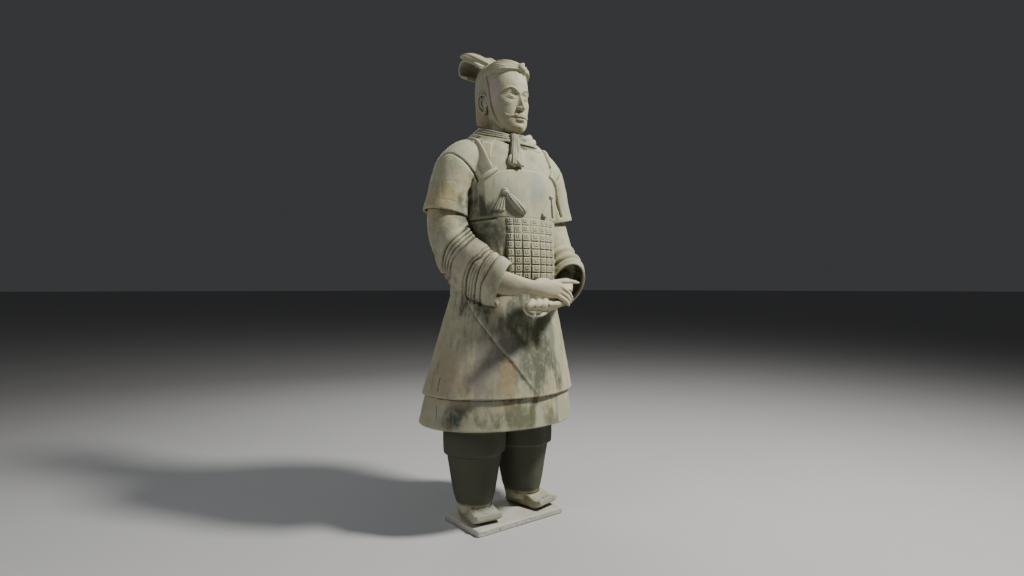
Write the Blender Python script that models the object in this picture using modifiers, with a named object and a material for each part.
"""Life-size terracotta warrior: an armoured officer standing with his hands crossed.

Five fired-clay pieces: a foot plate, a body from the shoes to the collar, a head whose neck stands loose in
the collar, and two hands set into the sleeves. Metres, +Z up, front towards -Y, the figure's own left
towards +X. The origin is the centre of the foot plate's underside.

The figure is drawn in modules, a 194th of its height. Walls, sockets, clearances and the plate are in metres.
"""

import math

import bmesh
import bpy
import numpy as np
from mathutils import Matrix, Vector

# The figure and its module
FIGURE_HEIGHT = 1.94
MODULES_HIGH = 194
MODULE = FIGURE_HEIGHT / MODULES_HIGH

# The foot plate
PLATE_WIDTH = 0.43
PLATE_DEPTH = 0.25
PLATE_THICKNESS = 0.025
PLATE_EDGE = 0.004

# Walls, sockets and clearances
REST_GAP = 0.0003
HEM_WALL = 0.019
HEM_HOLLOW = 0.06
HEM_HOLLOW_TAPER = 0.95
CUFF_WALL = 0.011
CUFF_HOLLOW = 0.085
CUFF_HOLLOW_TAPER = 0.8
NECK_RADIUS = 0.058
NECK_CLEARANCE = 0.003
NECK_SOCKET_DEPTH = 0.07
COLLAR_WALL = 0.030

# Free-form places of the collar and the neck, in modules, and how far the collar leans
COLLAR_TOP = 157.4
COLLAR_SLOPE = 0.38
COLLAR_BACK = 0.3
NAPE_CLEARANCE = 0.2
NECK_BACK = 0.8

# Relief of the armour and the cloth
PLATE_COLUMNS = 7
PLATE_ROWS = 8
PLATE_RELIEF = 0.007
CHEST_RELIEF = 0.006
FLAP_RELIEF = 0.006
PANEL_ROOT = 0.02
STRAP_WIDTH = 0.055
STRAP_RELIEF = 0.007
BOW_RELIEF = 0.012
SLEEVE_FOLD_DEPTH = 0.010

SMOOTH_UNDER = math.radians(35)
WELD = 0.00005

FLOOR = PLATE_THICKNESS + REST_GAP
SOCKET_RADIUS = NECK_RADIUS + NECK_CLEARANCE

# Half-width and half-depth of the torso at each height, with its centre's place: z, x, y, half_x, half_y
TORSO = (
    (90, 0.0, 0.7, 22.2, 19.2),
    (102, 0.0, 0.4, 21.6, 18.6),
    (112, 0.0, 0.4, 21.6, 18.2),
    (122, 0.0, 0.6, 22.4, 17.9),
    (132, 0.0, 0.8, 23.0, 17.3),
    (141, 0.0, 1.0, 22.6, 15.9),
    (147.6, 0.0, 1.1, 20.2, 14.0),
    (151.2, 0.0, 1.2, 17.0, 12.3),
    (153.2, 0.0, 1.2, 12.8, 10.6),
)
TORSO_POWER = 2.25

# The outer robe from the waist to its hem, in the same order
ROBE = (
    (96, 0.0, 0.6, 21.0, 18.0),
    (88, 0.0, 0.8, 23.2, 19.6),
    (78, -0.2, 1.2, 26.2, 21.2),
    (66, -0.5, 1.7, 29.4, 23.4),
    (56, -0.9, 2.2, 32.0, 25.4),
    (50.6, -1.1, 2.4, 33.4, 26.5),
)
ROBE_POWER = 2.0


def at(x, y, z):
    """A point of the figure, from modules to metres, with z counted from the soles."""
    return Vector((x * MODULE, y * MODULE, z * MODULE + FLOOR))


def material(name, colour, roughness):
    made = bpy.data.materials.new(name)
    made.use_nodes = True
    shader = made.node_tree.nodes["Principled BSDF"]
    shader.inputs["Base Color"].default_value = (*colour, 1)
    shader.inputs["Roughness"].default_value = roughness
    shader.inputs["Metallic"].default_value = 0.0
    return made


def collection(name, hidden=False):
    made = bpy.data.collections.new(name)
    made.hide_render = hidden
    bpy.context.scene.collection.children.link(made)
    return made


def keep(made, name, place):
    """Name a new object, shade it smooth and move it to its own collection."""
    made.name = name
    made.data.shade_smooth()
    made.data.set_sharp_from_angle(angle=SMOOTH_UNDER)
    for old in list(made.users_collection):
        old.objects.unlink(made)
    place.objects.link(made)
    return made


def between(rows, share):
    """A Catmull-Rom curve through rows of numbers, at a share from 0 to len(rows) - 1."""
    last = len(rows) - 1
    start = min(int(share), last - 1)
    t = share - start
    p0 = rows[max(start - 1, 0)]
    p1 = rows[start]
    p2 = rows[start + 1]
    p3 = rows[min(start + 2, last)]
    bend = 2 * p0 - 5 * p1 + 4 * p2 - p3
    twist = 3 * p1 - p0 - 3 * p2 + p3
    return 0.5 * (2 * p1 + (p2 - p0) * t + bend * t * t + twist * t**3)


def superellipse(angle, power):
    """The cosine and sine of a rounded box: power 2 is an ellipse, and more is squarer."""
    c, s = math.cos(angle), math.sin(angle)
    return (
        math.copysign(abs(c) ** (2 / power), c),
        math.copysign(abs(s) ** (2 / power), s),
    )


def mesh_object(name, points, faces, place):
    mesh = bpy.data.meshes.new(name)
    mesh.from_pydata([tuple(p) for p in points], [], faces)
    mesh.validate()
    bm = bmesh.new()
    bm.from_mesh(mesh)
    bmesh.ops.recalc_face_normals(bm, faces=bm.faces)
    bm.to_mesh(mesh)
    bm.free()
    return keep(bpy.data.objects.new(name, mesh), name, place)


def loft(name, rings, place, around=24, per_span=2, power=2.0, relief=None):
    """A closed form through rings. A ring is its centre and its two half-axes, as vectors in metres.

    relief(share, angle) moves a point outwards in its ring, in metres, share running from 0 to 1.
    """
    rows = [np.array([centre, across, upward], float) for centre, across, upward in rings]
    count = (len(rows) - 1) * per_span
    points = []
    for i in range(count + 1):
        centre, across, upward = between(rows, i / per_span) if per_span > 1 else rows[i]
        for k in range(around):
            angle = 2 * math.pi * k / around
            c, s = superellipse(angle, power)
            arm = across * c + upward * s
            if relief:
                arm = arm * (1 + relief(i / count, angle) / np.linalg.norm(arm))
            points.append(centre + arm)
    faces = []
    for i in range(count):
        for k in range(around):
            j = (k + 1) % around
            faces.append((i * around + k, i * around + j, (i + 1) * around + j, (i + 1) * around + k))
    faces.append(tuple(range(around)))
    faces.append(tuple(range(count * around, (count + 1) * around)))
    return mesh_object(name, points, faces, place)


def upright(rows):
    """Level rings from rows of z, x, y, half_x, half_y in modules."""
    return [
        (at(x, y, z), Vector((half_x * MODULE, 0, 0)), Vector((0, half_y * MODULE, 0)))
        for z, x, y, half_x, half_y in rows
    ]


def square_ring(centre, ahead, half_side, half_up, reference):
    """A ring square to a direction: its side axis is the reference made square to it, in modules."""
    side = Vector(reference) - ahead * ahead.dot(Vector(reference))
    side.normalize()
    return centre, side * half_side * MODULE, side.cross(ahead) * half_up * MODULE


def limb(rows, reference=(1, 0, 0)):
    """Rings square to a path, from rows of x, y, z, half_side, half_up in modules."""
    centres = [at(x, y, z) for x, y, z, _, _ in rows]
    rings = []
    for i, (_, _, _, half_side, half_up) in enumerate(rows):
        ahead = (centres[min(i + 1, len(rows) - 1)] - centres[max(i - 1, 0)]).normalized()
        rings.append(square_ring(centres[i], ahead, half_side, half_up, reference))
    return rings


def tube(name, rows, place, sides=8):
    """A round-section curve through rows of x, y, z, radius in modules, made a mesh with its caps welded."""
    curve = bpy.data.curves.new(name, "CURVE")
    curve.dimensions = "3D"
    curve.bevel_depth = MODULE
    curve.bevel_resolution = (sides - 4) // 2
    curve.use_fill_caps = True
    spline = curve.splines.new("POLY")
    spline.points.add(len(rows) - 1)
    for point, (x, y, z, radius) in zip(spline.points, rows):
        point.co = (*at(x, y, z), 1)
        point.radius = radius
    guide = bpy.data.objects.new(name, curve)
    place.objects.link(guide)
    bpy.context.view_layer.update()
    graph = bpy.context.evaluated_depsgraph_get()
    mesh = bpy.data.meshes.new_from_object(guide.evaluated_get(graph))
    bm = bmesh.new()
    bm.from_mesh(mesh)
    bmesh.ops.remove_doubles(bm, verts=bm.verts, dist=WELD)
    bmesh.ops.recalc_face_normals(bm, faces=bm.faces)
    bm.to_mesh(mesh)
    bm.free()
    made = bpy.data.objects.new(name, mesh)
    made.matrix_world = guide.matrix_world
    bpy.data.objects.remove(guide)
    return keep(made, name, place)


def ball(name, centre, radii, place, segments=10, rings=6, turn=0.0):
    """An ellipsoid at a point in modules, turned about Z by turn degrees."""
    bpy.ops.mesh.primitive_uv_sphere_add(segments=segments, ring_count=rings, radius=MODULE)
    made = bpy.context.object
    made.data.transform(Matrix.Diagonal((*radii, 1)))
    made.data.transform(Matrix.Rotation(math.radians(turn), 4, "Z"))
    made.location = at(*centre)
    return keep(made, name, place)


def round_plug(name, radius, foot, top, place):
    """An upright cylinder on the neck's axis, between two heights in metres."""
    bpy.ops.mesh.primitive_cylinder_add(vertices=20, radius=radius, depth=top - foot)
    made = bpy.context.object
    made.location = (0, NECK_BACK * MODULE, (top + foot) / 2)
    return keep(made, name, place)


def on_form(form, power, degrees, z, lift=0.0):
    """A point on a form of level rings, at an angle from the front towards his left, at a height in modules.

    lift, in metres, moves it out along the ring's own half-axes.
    """
    rows = [np.array(row, float) for row in form]
    for i in range(len(rows) - 1):
        if (z - rows[i][0]) * (z - rows[i + 1][0]) <= 0:
            break
    share = i + (z - rows[i][0]) / (rows[i + 1][0] - rows[i][0])
    x, y, half_x, half_y = between(rows, share)[1:]
    c, s = superellipse(math.radians(degrees - 90), power)
    return at(x, y, z) + Vector((c * (half_x * MODULE + lift), s * (half_y * MODULE + lift), 0))


def on_torso(degrees, z, lift=0.0):
    return on_form(TORSO, TORSO_POWER, degrees, z, lift)


def in_modules(point):
    """A point in metres, back in modules counted from the soles."""
    return point.x / MODULE, point.y / MODULE, (point.z - FLOOR) / MODULE


def on_robe(degrees, z, lift=0.0):
    return on_form(ROBE, ROBE_POWER, degrees, z, lift)


def fitted_panel(name, wide, tall, spot, height, place, surface=on_torso):
    """A closed sheet fitted to the torso or the robe, with wide by tall points.

    spot(i, j) is the angle and the height of a point, and height(i, j) is how far the outside stands proud
    there, in metres. The inside lies within the body.
    """
    grid = [(i, j) for j in range(tall) for i in range(wide)]
    points = [surface(*spot(i, j), height(i, j)) for i, j in grid]
    points += [surface(*spot(i, j), -PANEL_ROOT) for i, j in grid]
    back = wide * tall
    faces = []
    for j in range(tall - 1):
        for i in range(wide - 1):
            a = j * wide + i
            faces.append((a, a + 1, a + 1 + wide, a + wide))
            faces.append((back + a, back + a + wide, back + a + 1 + wide, back + a + 1))
    edge = [i for i in range(wide)]
    edge += [j * wide + wide - 1 for j in range(1, tall)]
    edge += [(tall - 1) * wide + i for i in range(wide - 2, -1, -1)]
    edge += [j * wide for j in range(tall - 2, 0, -1)]
    for a, b in zip(edge, edge[1:] + edge[:1]):
        faces.append((a, back + a, back + b, b))
    return mesh_object(name, points, faces, place)


def laid_strap(name, route, width, relief, place):
    """A flat strap laid on the torso along a route of (degrees, z), width in metres."""
    centres = [on_torso(degrees, z) for degrees, z in route]
    outs = [on_torso(degrees, z, MODULE) - centre for (degrees, z), centre in zip(route, centres)]
    rings = []
    for i, centre in enumerate(centres):
        ahead = (centres[min(i + 1, len(route) - 1)] - centres[max(i - 1, 0)]).normalized()
        out = (outs[i] - ahead * outs[i].dot(ahead)).normalized()
        side = ahead.cross(out)
        thickness = relief * 2
        rings.append((centre + out * (relief - thickness), side * width / 2, out * thickness))
    return loft(name, rings, place, around=8, per_span=1, power=5.0)


def foot_plate(place, clay):
    bpy.ops.mesh.primitive_cube_add(size=1)
    made = keep(bpy.context.object, "foot_plate", place)
    made.data.transform(Matrix.Diagonal((PLATE_WIDTH, PLATE_DEPTH, PLATE_THICKNESS, 1)))
    made.location = (0, 0, PLATE_THICKNESS / 2)
    bevel = made.modifiers.new("worn_edge", "BEVEL")
    bevel.width = PLATE_EDGE
    bevel.segments = 1
    made.data.materials.append(clay)


def leg(side, place):
    """A trouser leg with its knee-length cuff standing proud of the legging under it."""
    foot_x = 13.8 if side < 0 else 12.0
    foot_y = 2.0 if side < 0 else 3.5
    rows = (
        (3.0, 7.2, 8.2),
        (11.0, 8.5, 9.3),
        (19.0, 9.8, 10.4),
        (26.4, 11.1, 11.6),
        (27.4, 12.0, 12.5),
        (34.0, 12.6, 13.1),
        (46.0, 12.4, 13.2),
    )
    rings = upright([(z, side * foot_x, foot_y, a, b) for z, a, b in rows])
    return loft(f"leg_{side}", rings, place, around=14, per_span=1)


def shoe(side, place):
    """A shoe with a square toe that turns up off the plate."""
    splay = math.radians(6 if side < 0 else 12)
    heel_x = 12.4 if side < 0 else 11.6
    forward = Vector((side * math.sin(splay), -math.cos(splay), 0))
    across = Vector((-forward.y, forward.x, 0))
    heel = at(side * heel_x, 10.5, 0)
    # Along the foot: distance from the heel, half-width, height of the sole, height of the top
    rows = (
        (0.0, 3.6, 0.0, 5.5),
        (2.0, 4.6, 0.0, 6.2),
        (9.0, 5.2, 0.0, 7.0),
        (13.0, 5.5, 0.0, 6.4),
        (17.0, 5.8, 0.0, 4.6),
        (19.0, 5.9, 0.5, 4.1),
        (20.6, 5.8, 1.3, 4.5),
    )
    rings = []
    for distance, half, sole, top in rows:
        centre = heel + forward * distance * MODULE
        centre.z += (sole + top) / 2 * MODULE
        rings.append((centre, across * half * MODULE, Vector((0, 0, (top - sole) / 2 * MODULE))))
    return loft(f"shoe_{side}", rings, place, around=10, per_span=1, power=5.0)


def lower_robe(place):
    """The under-robe below the hem of the outer one, hollow underneath, with its wall at the hem."""
    rows = ((56, -1.2, 2.0, 30.6, 24.6), (50, -1.3, 2.4, 31.8, 25.2), (38.6, -1.5, 3.0, 34.0, 27.0))
    outer = upright(rows)
    centre, across, upward = outer[-1]
    inner_across = Vector((across.x - HEM_WALL, 0, 0))
    inner_upward = Vector((0, upward.y - HEM_WALL, 0))
    ceiling = centre + Vector((0, 0, HEM_HOLLOW))
    inner = [
        (centre, inner_across, inner_upward),
        (ceiling, inner_across * HEM_HOLLOW_TAPER, inner_upward * HEM_HOLLOW_TAPER),
    ]
    return loft("lower_robe", outer + inner, place, around=32, per_span=1)


def upper_robe(place):
    """The outer robe from the waist to its hem."""
    return loft("upper_robe", upright(ROBE), place, around=32, per_span=1, power=ROBE_POWER)


def flap(place):
    """The robe's front lapping over: its edge runs down from his right hip to the middle of the hem."""
    edge = ((88, -72), (77, -46), (64.6, -22), (52.7, -4), (50.8, -1.5))
    across, reach = 5, 30
    sink = 1.5

    def spot(i, j):
        z, start = edge[j]
        return start + reach * i / (across - 1), z

    def height(i, j):
        return FLAP_RELIEF * (1 - sink * i / (across - 1))

    return fitted_panel("flap", across, len(edge), spot, height, place, on_robe)


def scale_panel(place):
    """The belly armour: rows of small plates, each row standing proud of the one below."""
    left, right = -28.0, 33.0
    bottom, top = 95.5, 120.0
    gap_share = 0.12
    sunk = 0.15
    columns, low = [], []
    wide = (right - left) / PLATE_COLUMNS
    for i in range(PLATE_COLUMNS):
        edge = left + i * wide
        columns += [edge, edge + wide * gap_share, edge + wide * (1 - gap_share)]
        low += [True, False, False]
    columns.append(right)
    low.append(True)
    rows, proud = [], []
    tall = (top - bottom) / PLATE_ROWS
    for j in range(PLATE_ROWS):
        rows += [bottom + j * tall, bottom + (j + gap_share) * tall]
        proud += [sunk, 1.0]
    rows.append(top)
    proud.append(sunk)

    def height(i, j):
        return PLATE_RELIEF * (sunk if low[i] else proud[j])

    def spot(i, j):
        return columns[i], rows[j]

    return fitted_panel("scale_panel", len(columns), len(rows), spot, height, place)


def chest_panel(place):
    """The smooth breast plate above the belly armour, with a straight lower edge and an arched top."""
    reach = 58.0
    bottom, top, droop = 119.6, 139.4, 6.6
    wide, tall = 9, 4

    def spot(i, j):
        share = 2 * i / (wide - 1) - 1
        crest = top - droop * share * share
        return reach * share, bottom + (crest - bottom) * j / (tall - 1)

    return fitted_panel("chest_panel", wide, tall, spot, lambda i, j: CHEST_RELIEF, place)


def straps(place):
    """The shoulder straps of the armour, each with its end knob and the ribbon tail beside it."""
    for side in (-1, 1):
        route = [(side * 84, 149.6), (side * 67, 148.4), (side * 54, 144.0), (side * 43, 137.0)]
        laid_strap(f"strap_{side}", route, STRAP_WIDTH, STRAP_RELIEF, place)
        end = in_modules(on_torso(side * 42, 136.6, STRAP_RELIEF))
        ball(f"strap_end_{side}", end, (2.8, 1.3, 1.3), place, 8, 5, turn=side * 45)
        tail = ((side * 42, 142.0), (side * 40, 142.2)), ((side * 58, 150.4), (side * 38, 149.8))
        corners_panel(f"strap_tail_{side}", tail, STRAP_RELIEF, place)


def corners_panel(name, corners, relief, place):
    """A flat ribbon end on the torso between four corners, given as two rows of (degrees, z)."""
    return fitted_panel(name, 2, 2, lambda i, j: corners[j][i], lambda i, j: relief, place)


def collar(place):
    """Three rolls of the neck scarf round the neck's socket, lower at the throat than at the nape."""
    rim = (SOCKET_RADIUS + COLLAR_WALL) / MODULE
    rows = (
        (COLLAR_TOP - 9.6, 0.0, 0.8, rim + 4.3, rim + 2.9),
        (COLLAR_TOP - 6.6, 0.0, 0.6, rim + 3.8, rim + 2.9),
        (COLLAR_TOP - 5.4, 0.0, 0.5, rim + 2.7, rim + 2.2),
        (COLLAR_TOP - 3.8, 0.0, 0.4, rim + 2.6, rim + 2.1),
        (COLLAR_TOP - 3.0, 0.0, 0.4, rim + 1.6, rim + 1.3),
        (COLLAR_TOP - 1.5, 0.0, 0.3, rim + 1.5, rim + 1.1),
        (COLLAR_TOP - 0.9, 0.0, 0.3, rim + 0.7, rim + 0.5),
        (COLLAR_TOP, 0.0, COLLAR_BACK, rim, rim - 0.2),
    )
    rings = upright(rows)
    for _, _, depth in rings:
        depth.z = COLLAR_SLOPE * depth.y
    return loft("collar", rings, place, around=20, per_span=1)


def neck_tassel(place):
    """The tie's folded tail, hanging from under the chin onto the chest."""
    rows = (
        (-3.0, -8.4, 153.0, 1.5, 1.4),
        (-3.6, -10.6, 153.2, 1.5, 1.3),
        (-4.2, -12.6, 149.5, 1.8, 1.3),
        (-4.8, -14.8, 144.5, 2.4, 1.2),
        (-5.2, -16.0, 140.2, 2.4, 1.1),
    )
    return loft("neck_tassel", limb(rows), place, around=8, per_span=1, power=3.0)


def chest_bow(side, place):
    """A bow on the breast plate: a knot, a plaited tassel and a flat ribbon."""
    def spot(degrees, z, lift):
        return in_modules(on_torso(side * degrees, z, lift * MODULE))

    ball(f"bow_knot_{side}", spot(26, 129.4, 1.1), (1.4, 1.2, 1.2), place, 8, 5)
    tassel = ((24, 128.4, 0.8, 0.9), (18, 126.0, 1.0, 1.5), (9, 122.6, 1.0, 1.6), (4.5, 120.8, 0.8, 0.9))
    rows = [(*spot(degrees, z, lift), radius) for degrees, z, lift, radius in tassel]
    tube(f"bow_tassel_{side}", rows, place, sides=6)
    fan = ((side * 38, 122.2), (side * 28, 122.0)), ((side * 28, 129.0), (side * 25, 129.0))
    corners_panel(f"bow_ribbon_{side}", fan, BOW_RELIEF, place)


def shoulder_cap(side, place):
    """The short outer sleeve, standing proud of the arm under it at its lower edge."""
    rows = (
        (side * 12.0, 1.0, 143.2, 10.0, 9.5),
        (side * 17.8, 1.2, 142.0, 9.9, 9.6),
        (side * 21.9, 1.3, 138.6, 9.6, 9.3),
        (side * 24.5, 1.4, 133.4, 9.1, 8.6),
        (side * 26.2, 1.4, 127.4, 8.9, 8.4),
        (side * 27.4, 1.4, 121.6, 9.3, 8.9),
    )
    rings = limb(rows, (0, 1, 0))
    return loft(f"shoulder_cap_{side}", rings, place, around=18, per_span=1)


def upper_arm(side, place):
    """The sleeve from inside the cap down to where its pushed-up folds start."""
    slim = 1.0 if side > 0 else 0.0
    rows = (
        (side * (25.0 - slim), 1.4, 132.0, 8.4 - slim, 7.8 - slim),
        (side * (27.0 - slim), 1.2, 122.0, 8.8 - slim, 8.2 - slim),
        (side * (26.9 - slim), -1.0, 113.0, 8.8 - slim, 8.8 - slim),
        (side * 26.0, -4.6, 105.0, 7.6 - slim, 8.6 - slim),
    )
    return loft(f"upper_arm_{side}", limb(rows), place, around=16, per_span=1)


def sleeve_folds(count, slant):
    """Ridges round a pushed-up sleeve, deepest midway along it."""
    def relief(share, angle):
        wave = math.sin(2 * math.pi * (count * share + slant * math.sin(angle)))
        return SLEEVE_FOLD_DEPTH * wave * math.sin(math.pi * share)

    return relief


def right_sleeve_rings():
    return limb(
        (
            (-26.9, -1.6, 113.0, 7.6, 7.6),
            (-26.0, -4.8, 106.0, 8.2, 10.4),
            (-23.4, -9.8, 100.4, 7.9, 11.6),
            (-19.8, -14.6, 96.6, 6.8, 11.2),
            (-15.6, -19.6, 93.8, 6.2, 9.4),
        )
    )


def left_sleeve_rings():
    return limb(
        (
            (26.0, 0.2, 114.0, 7.3, 7.2),
            (26.0, -2.4, 106.6, 7.2, 8.7),
            (25.7, -6.6, 100.4, 7.3, 9.8),
            (24.3, -10.8, 96.4, 7.3, 10.5),
            (21.8, -14.8, 93.7, 7.1, 10.8),
        )
    )


def cuff_cutter(name, rings, place):
    """The hollow of an open cuff: the sleeve's own last section, a wall smaller, run back up the sleeve."""
    centre, side, up = rings[-1]
    ahead = (centre - rings[-2][0]).normalized()
    side = side * (1 - CUFF_WALL / side.length)
    up = up * (1 - CUFF_WALL / up.length)
    stations = [
        (centre + ahead * CUFF_WALL, side, up),
        (centre - ahead * CUFF_HOLLOW / 2, side, up),
        (centre - ahead * CUFF_HOLLOW, side * CUFF_HOLLOW_TAPER, up * CUFF_HOLLOW_TAPER),
    ]
    return loft(name, stations, place, around=16, per_span=1)


def arm_seat(rings, half_side, half_up, reference):
    """The ring where a forearm stands on the floor of its cuff's hollow."""
    centre = rings[-1][0]
    ahead = (centre - rings[-2][0]).normalized()
    return square_ring(centre - ahead * (CUFF_HOLLOW - REST_GAP), ahead, half_side, half_up, reference)


def socket_floor():
    return at(0, 0, COLLAR_TOP).z - NECK_SOCKET_DEPTH


def boolean(target, name, operation, operand):
    made = target.modifiers.new(name, "BOOLEAN")
    made.operation = operation
    made.solver = "EXACT"
    if isinstance(operand, bpy.types.Collection):
        made.operand_type = "COLLECTION"
        made.collection = operand
    else:
        made.object = operand
    return made


def body(place, shapes, cutters, clay):
    torso = loft("body", upright(TORSO), place, around=32, per_span=1, power=TORSO_POWER)
    torso.data.materials.append(clay)
    lower_robe(shapes)
    upper_robe(shapes)
    flap(shapes)
    for side in (-1, 1):
        leg(side, shapes)
        shoe(side, shapes)
        shoulder_cap(side, shapes)
        upper_arm(side, shapes)
        chest_bow(side, shapes)
    scale_panel(shapes)
    chest_panel(shapes)
    straps(shapes)
    collar(shapes)
    neck_tassel(shapes)
    right = right_sleeve_rings()
    left = left_sleeve_rings()
    loft("right_sleeve", right, shapes, around=16, per_span=5, relief=sleeve_folds(5.0, 0.12))
    loft("left_sleeve", left, shapes, around=16, per_span=4, relief=sleeve_folds(4.0, -0.10))
    boolean(torso, "join_shapes", "UNION", shapes)
    above = at(0, 0, COLLAR_TOP).z + NECK_SOCKET_DEPTH
    socket = round_plug("neck_cutter", SOCKET_RADIUS, socket_floor(), above, cutters)
    boolean(torso, "neck_socket", "DIFFERENCE", socket)
    boolean(torso, "right_cuff_hollow", "DIFFERENCE", cuff_cutter("right_cuff_cutter", right, cutters))
    boolean(torso, "left_cuff_hollow", "DIFFERENCE", cuff_cutter("left_cuff_cutter", left, cutters))
    return torso


def head(place, shapes, clay):
    """The head: a neck plug, the face and hair, the folded cap with its two tails, and the chin ribbons."""
    made = loft(
        "head",
        upright(
            (
                (155.8, 0.0, -7.4, 2.7, 2.4),
                (157.0, 0.0, -6.2, 4.6, 4.3),
                (159.4, 0.0, -4.4, 6.5, 6.6),
                (163.0, 0.0, -2.0, 7.9, 9.0),
                (168.0, 0.0, -0.9, 8.8, 10.0),
                (173.0, 0.0, -0.4, 9.1, 10.3),
                (178.0, 0.0, 0.2, 9.0, 10.1),
                (182.0, 0.0, 0.9, 8.2, 9.2),
                (184.6, 0.0, 1.6, 6.2, 7.2),
                (186.0, 0.0, 2.0, 3.2, 3.8),
            )
        ),
        place,
        around=20,
        per_span=1,
    )
    made.data.materials.append(clay)
    jaw_top = at(0, 0, 165).z
    round_plug("neck", NECK_RADIUS, socket_floor() + REST_GAP, jaw_top, shapes)
    face(shapes)
    hair(shapes)
    cap(shapes)
    boolean(made, "join_head", "UNION", shapes)
    return made


def face(place):
    """Brows, nose, eyelids, lips and moustache, in simple masses on even thirds of the face."""
    nose = (
        (172.0, 0.0, -9.2, 0.8, 1.2),
        (169.0, 0.0, -9.9, 0.8, 1.4),
        (166.0, 0.0, -10.6, 1.2, 1.7),
        (164.2, 0.0, -10.5, 1.8, 2.0),
        (163.2, 0.0, -10.0, 1.4, 1.4),
    )
    loft("nose", upright(nose), place, around=10, per_span=1)
    ball("upper_lip", (0, -10.3, 161.2), (2.4, 0.9, 0.6), place)
    ball("lower_lip", (0, -10.0, 160.0), (2.0, 0.9, 0.7), place)
    ball("chin", (0, -9.2, 157.2), (2.4, 1.4, 1.7), place)
    for side in (-1, 1):
        brow = (
            (side * 0.9, -10.5, 171.4, 0.3),
            (side * 2.6, -10.2, 172.5, 0.5),
            (side * 4.9, -9.0, 172.7, 0.5),
            (side * 6.8, -7.3, 171.8, 0.3),
        )
        tube(f"brow_{side}", brow, place, sides=6)
        ball(f"eyelid_{side}", (side * 3.3, -9.4, 169.4), (1.6, 1.1, 0.8), place, 10, 6)
        ball(f"ear_{side}", (side * 9.3, 1.4, 167.4), (1.1, 2.0, 3.6), place, 8, 5)
        moustache = (
            (side * 0.7, -10.8, 162.4, 0.5),
            (side * 2.6, -10.4, 161.9, 0.6),
            (side * 4.6, -9.4, 161.6, 0.45),
            (side * 5.6, -8.8, 162.3, 0.2),
        )
        tube(f"moustache_{side}", moustache, place, sides=6)


def hair(place):
    """Hair combed back over the ears and up under the cap, and the ribbons that hold the cap on."""
    nape_back = 5.4
    nape = COLLAR_TOP + NAPE_CLEARANCE + COLLAR_SLOPE * (nape_back - COLLAR_BACK)
    rows = (
        (nape, 0.0, nape_back, 8.6, 6.2),
        (nape + 3.4, 0.0, 5.0, 9.0, 7.6),
        (168.0, 0.0, 4.2, 9.3, 9.0),
        (174.0, 0.0, 3.2, 9.9, 10.4),
        (180.0, 0.0, 2.6, 9.6, 10.4),
        (183.6, 0.0, 2.6, 7.9, 8.8),
        (185.8, 0.0, 2.8, 4.6, 5.2),
    )
    rings = upright(rows)
    rings[0][2].z = COLLAR_SLOPE * rings[0][2].y
    loft("hair", rings, place, around=20, per_span=1)
    for side in (-1, 1):
        ribbon = (
            (side * 9.5, 0.4, 179.8, 0.9, 0.5),
            (side * 9.3, -0.9, 174.0, 1.0, 0.5),
            (side * 8.7, -2.3, 165.5, 1.0, 0.5),
            (side * 7.2, -4.0, 160.4, 1.0, 0.5),
            (side * 4.6, -6.0, 156.8, 0.9, 0.5),
        )
        loft(f"chin_ribbon_{side}", limb(ribbon, (0, 1, 0)), place, around=6, per_span=1)


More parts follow.
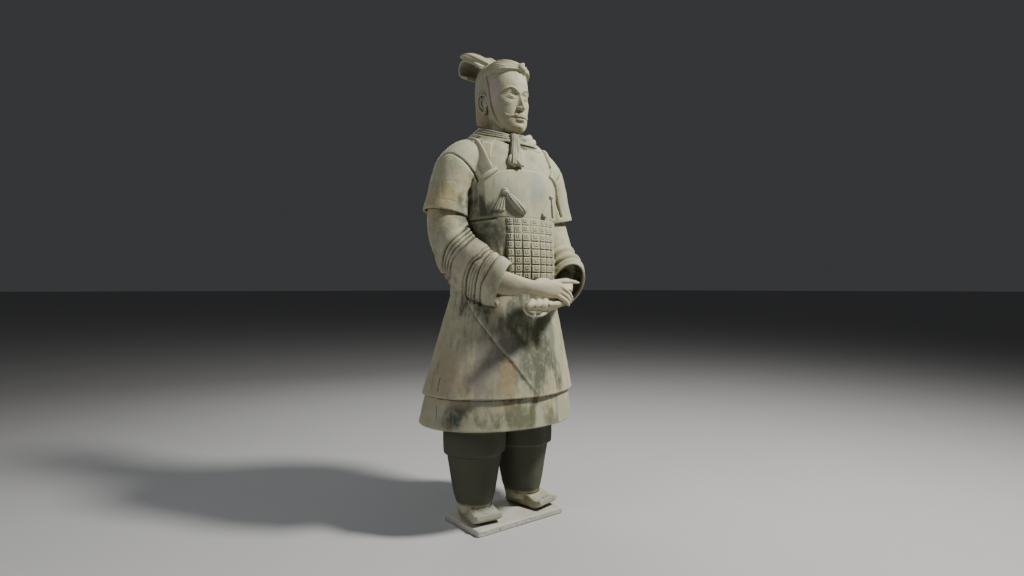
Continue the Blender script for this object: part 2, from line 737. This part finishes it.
def cap(place):
    """The tied top: locks swept forward to a knot above the brow, and the cap's two curled tails behind."""
    locks = (
        ((-9.2, 0.8, 178.8, 0.8), (-8.5, -3.4, 180.3, 1.2), (-5.2, -7.5, 181.0, 1.4), (0.4, -9.1, 181.4, 1.1)),
        ((-8.4, 2.0, 181.2, 0.9), (-6.9, -2.6, 182.6, 1.5), (-3.6, -6.6, 182.8, 1.5), (0.6, -8.6, 182.2, 1.1)),
        ((-5.4, 3.6, 184.0, 0.9), (-3.6, -1.2, 184.7, 1.5), (-1.4, -5.2, 184.1, 1.5), (1.0, -8.0, 182.8, 1.2)),
        ((0.0, 4.4, 185.0, 0.9), (0.8, -0.8, 185.2, 1.5), (1.6, -4.8, 184.3, 1.5), (2.0, -7.8, 182.8, 1.1)),
        ((5.4, 3.6, 183.8, 0.9), (5.2, -1.2, 184.3, 1.4), (4.2, -5.2, 183.4, 1.4), (2.6, -7.8, 182.2, 1.1)),
        ((9.2, 0.8, 178.8, 0.8), (8.4, -3.2, 180.4, 1.5), (6.0, -6.8, 181.2, 1.5), (2.8, -8.8, 181.2, 1.1)),
    )
    for i, lock in enumerate(locks):
        tube(f"lock_{i}", lock, place, sides=5)
    ball("knot_root", (1.8, -6.8, 181.6), (3.6, 2.6, 2.2), place, 8, 5)
    ball("front_knot_right", (1.5, -9.2, 182.0), (1.9, 1.9, 1.8), place, 8, 5)
    ball("front_knot_left", (3.5, -8.7, 180.8), (1.3, 1.5, 1.3), place, 8, 5)
    curl = (
        (-1.5, 6.0, 184.6, 7.0, 1.0),
        (-1.5, 12.0, 188.2, 7.2, 0.9),
        (-1.5, 17.6, 190.2, 7.6, 0.8),
        (-1.5, 20.4, 188.4, 7.6, 0.8),
        (-1.5, 20.0, 184.6, 7.4, 0.8),
        (-1.5, 15.6, 182.6, 7.0, 0.8),
    )
    loft("tail_curl", limb(curl), place, around=8, per_span=1, power=5.0)
    for side, lean in ((-1, 0.0), (1, 0.4)):
        middle = -1.5
        tail = (
            (middle + side * 1.4, 5.0, 185.6, 2.4, 1.7),
            (middle + side * 3.2, 10.6, 188.9, 3.4, 2.2),
            (middle + side * 4.4, 15.0, 191.3, 3.6, 2.0),
            (middle + side * 5.4, 18.4, 192.6 - lean, 2.8, 1.4),
            (middle + side * 6.0, 20.4, 193.1 - lean, 1.3, 0.6),
        )
        loft(f"tail_{side}", limb(tail), place, around=8, per_span=1)


def right_hand(place, shapes, clay):
    """The right forearm and hand, set into the sleeve: index finger straight, three fingers curled down."""
    rows = (
        (-14.6, -20.2, 94.3, 2.9, 4.4),
        (-9.0, -24.8, 93.2, 2.6, 3.0),
        (-5.6, -27.0, 92.6, 2.3, 2.7),
        (-1.6, -28.6, 92.2, 2.0, 3.3),
        (2.6, -29.6, 92.0, 1.7, 3.5),
        (5.2, -29.9, 92.3, 1.2, 2.7),
    )
    across = (1, 1, 0)
    rings = [arm_seat(right_sleeve_rings(), 2.9, 4.3, across)] + limb(rows, across)
    made = loft("right_hand", rings, place, around=12, per_span=1, power=2.3)
    made.data.materials.append(clay)
    tube("right_index", (
        (2.6, -29.6, 94.6, 0.95),
        (7.0, -29.8, 95.0, 0.9),
        (11.4, -29.6, 94.9, 0.75),
        (15.2, -28.8, 94.5, 0.45),
    ), shapes, sides=6)
    for i, drop in enumerate((0.0, 1.9, 3.7)):
        tube(f"right_finger_{i}", (
            (2.4, -30.0, 93.6 - drop, 0.9),
            (5.8 - 0.5 * i, -30.7, 92.4 - drop, 0.95),
            (8.4 - 0.7 * i, -31.0, 90.2 - drop * 0.85, 0.85),
            (9.6 - 0.9 * i, -30.9, 88.4 - drop * 0.6, 0.6),
        ), shapes, sides=6)
    boolean(made, "join_right_hand", "UNION", shapes)
    return made


def left_hand(place, shapes, clay):
    """The left wrist and hand, set into the sleeve under the right one, its fingers loosely closed."""
    rows = (
        (19.6, -16.0, 93.9, 2.9, 3.3),
        (15.2, -20.4, 92.4, 2.9, 3.3),
        (11.8, -24.2, 91.0, 2.5, 2.9),
        (8.0, -26.4, 88.8, 2.2, 2.6),
        (3.6, -27.4, 86.6, 2.2, 2.4),
        (-1.6, -27.8, 85.8, 2.4, 2.2),
        (-7.0, -27.8, 85.8, 2.2, 2.0),
        (-10.4, -27.6, 85.8, 1.2, 1.4),
    )
    across = (1, 1, 0)
    rings = [arm_seat(left_sleeve_rings(), 2.7, 3.1, across)] + limb(rows, across)
    made = loft("left_hand", rings, place, around=12, per_span=1, power=2.2)
    made.data.materials.append(clay)
    for i, x in enumerate((-3.8, -6.9, -10.2)):
        tube(f"left_finger_{i}", (
            (x + 2.6, -27.4, 87.0, 1.2),
            (x + 1.2, -29.4, 87.2, 1.4),
            (x - 0.5, -30.6, 86.4, 1.3),
            (x - 1.6, -30.7, 85.8, 1.1),
        ), shapes, sides=6)
    tube("left_thumb", (
        (7.6, -27.4, 87.0, 1.2),
        (5.0, -29.2, 86.8, 1.25),
        (1.8, -30.2, 86.3, 1.1),
        (-1.3, -30.1, 86.2, 0.9),
    ), shapes, sides=6)
    tube("left_palm_rim", (
        (-11.4, -27.8, 84.8, 0.8),
        (-10.4, -28.6, 83.0, 0.75),
        (-6.8, -29.0, 82.2, 0.75),
        (-2.8, -28.8, 82.8, 0.8),
        (1.2, -27.8, 84.8, 0.9),
    ), shapes, sides=6)
    boolean(made, "join_left_hand", "UNION", shapes)
    return made


def main():
    for old in list(bpy.data.objects):
        bpy.data.objects.remove(old)
    parts = collection("terracotta_warrior")
    shapes = collection("body_shapes", hidden=True)
    cutters = collection("body_cutters", hidden=True)
    head_shapes = collection("head_shapes", hidden=True)
    right_shapes = collection("right_hand_shapes", hidden=True)
    left_shapes = collection("left_hand_shapes", hidden=True)
    foot_plate(parts, material("clay_plate", (0.50, 0.50, 0.45), 0.8))
    body(parts, shapes, cutters, material("clay_body", (0.34, 0.33, 0.27), 0.85))
    head(parts, head_shapes, material("clay_head", (0.42, 0.40, 0.33), 0.85))
    right_hand(parts, right_shapes, material("clay_right_hand", (0.55, 0.52, 0.43), 0.85))
    left_hand(parts, left_shapes, material("clay_left_hand", (0.55, 0.52, 0.43), 0.85))
    hidden = (shapes, cutters, head_shapes, right_shapes, left_shapes)
    for guide in [thing for group in hidden for thing in group.objects]:
        guide.hide_render = True
        guide.display_type = "WIRE"


main()
